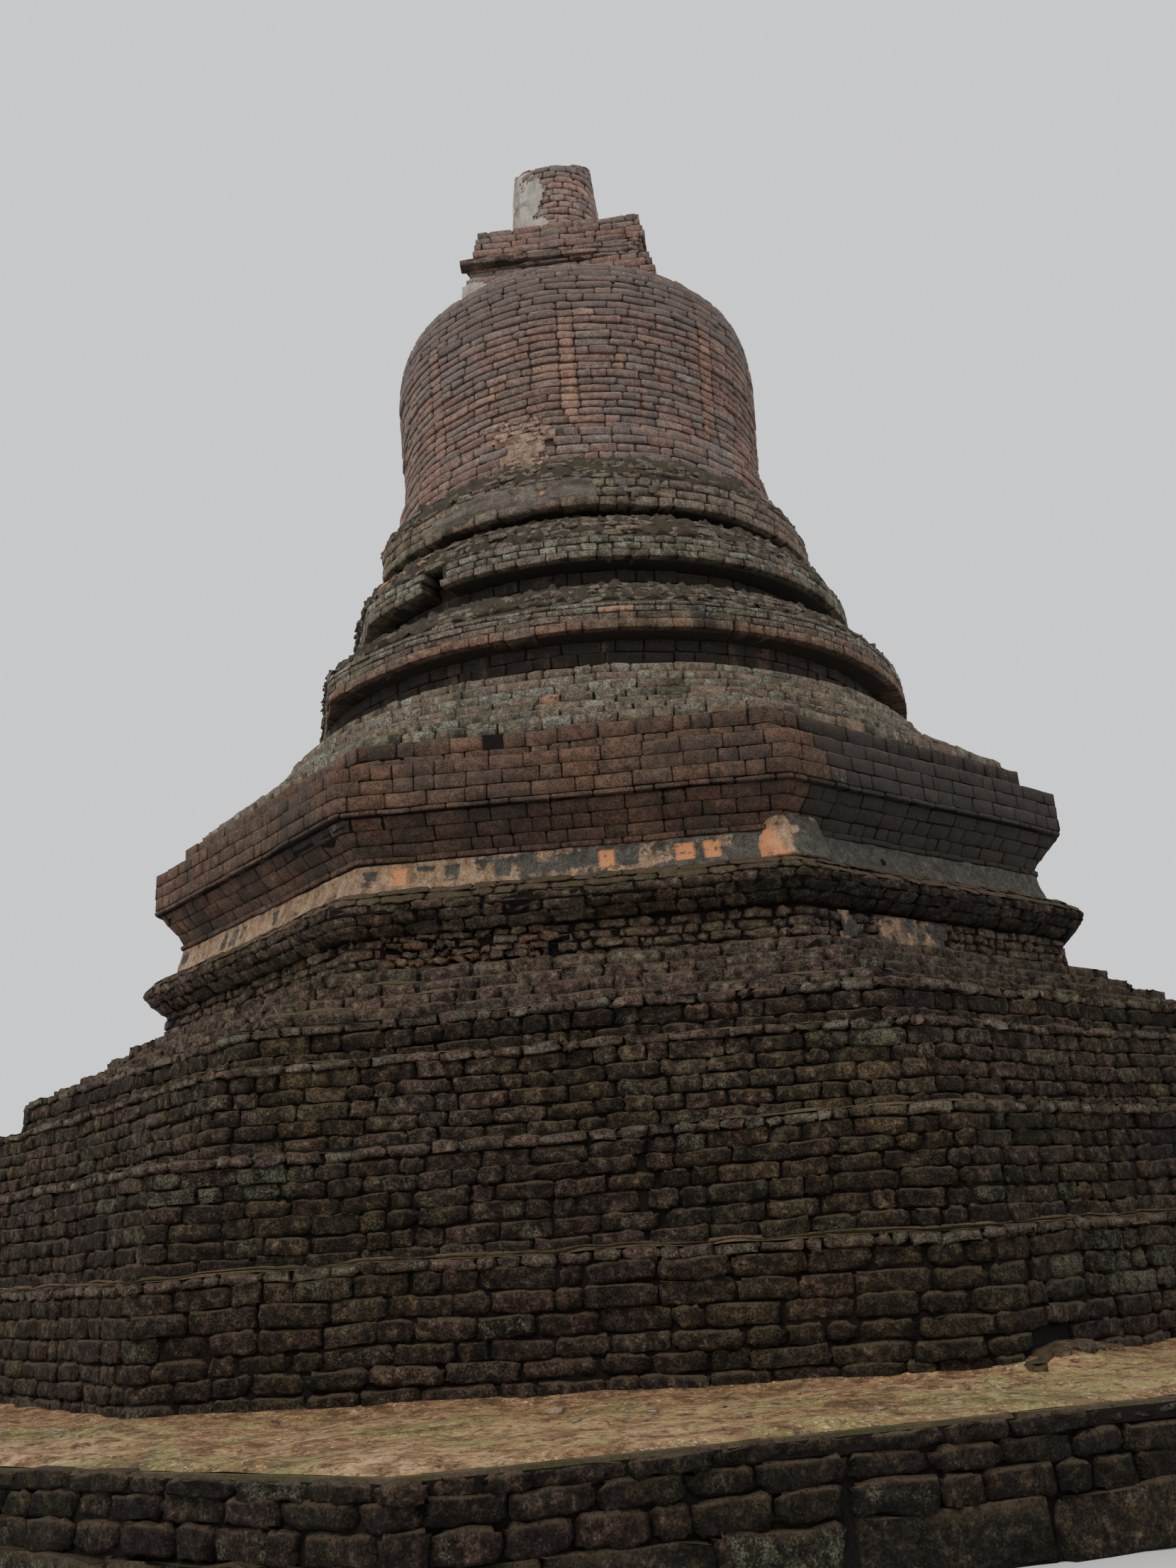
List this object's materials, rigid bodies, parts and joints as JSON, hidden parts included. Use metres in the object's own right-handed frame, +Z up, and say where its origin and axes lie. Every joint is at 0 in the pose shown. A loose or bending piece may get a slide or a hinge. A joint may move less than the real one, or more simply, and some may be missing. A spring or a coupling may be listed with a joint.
{
  "type": "ruined laterite stupa on a low octagonal terrace",
  "caption": "Ruined bell-shaped stupa: octagonal stepped base on a low terrace, moulded cornice, ring mouldings, bell, square block and broken spire stub.",
  "frame": {"origin": "on the ground, under the centre of the terrace", "axes": "+Z up; -Y is the front, the side square to it is a flat side of the octagonal base; +X to the right seen from the front"},
  "size_m": [21.1796, 21.1796, 17.97],
  "materials": {
    "terrace_stone": "dark weathered laterite, rough",
    "terrace_earth": "trodden earth",
    "base_laterite": "dark mossy laterite, rough",
    "moss_laterite": "laterite with moss and lichen, rough",
    "red_laterite": "red-brown laterite, rough",
    "stucco": "old lime plaster, stained",
    "ring_stone": "grey lichened laterite, rough",
    "bell_laterite": "red-grey laterite courses, rough",
    "pale_render": "pale weathered render"
  },
  "bodies": {
    "root": {"band_underwall": "moss_laterite", "base_tier_1": "base_laterite", "base_tier_2": "base_laterite", "base_tier_3": "base_laterite", "base_tier_4": "base_laterite", "bell_base": "bell_laterite", "bell_body": "bell_laterite", "bell_shoulder": "bell_laterite", "block_base": "pale_render", "block_box": "pale_render", "block_cornice": "bell_laterite", "block_top": "bell_laterite", "cornice_cyma": "red_laterite", "cornice_fascia": "red_laterite", "cornice_lower_fillet": "red_laterite", "cornice_upper_fillet": "red_laterite", "octagon_band": "base_laterite", "recess_wall": "stucco", "ring_1_moulding": "ring_stone", "ring_1_neck": "ring_stone", "ring_2_moulding": "ring_stone", "ring_2_neck": "ring_stone", "ring_3_moulding": "ring_stone", "ring_3_neck": "ring_stone", "roof_part_1": "red_laterite", "roof_part_2": "moss_laterite", "roof_part_3": "moss_laterite", "roof_part_4": "moss_laterite", "roof_part_5": "moss_laterite", "slope_course_1": "moss_laterite", "slope_course_2": "moss_laterite", "slope_course_3": "moss_laterite", "slope_course_4": "moss_laterite", "spire_stub": "pale_render", "stucco_hump": "stucco", "terrace_coping": "terrace_stone", "terrace_fill": "terrace_earth", "terrace_wall_1": "terrace_stone", "terrace_wall_2": "terrace_stone", "terrace_wall_3": "terrace_stone", "terrace_wall_4": "terrace_stone", "terrace_wall_5": "terrace_stone", "terrace_wall_6": "terrace_stone", "terrace_wall_7": "terrace_stone", "terrace_wall_8": "terrace_stone"}
  },
  "joints": []
}
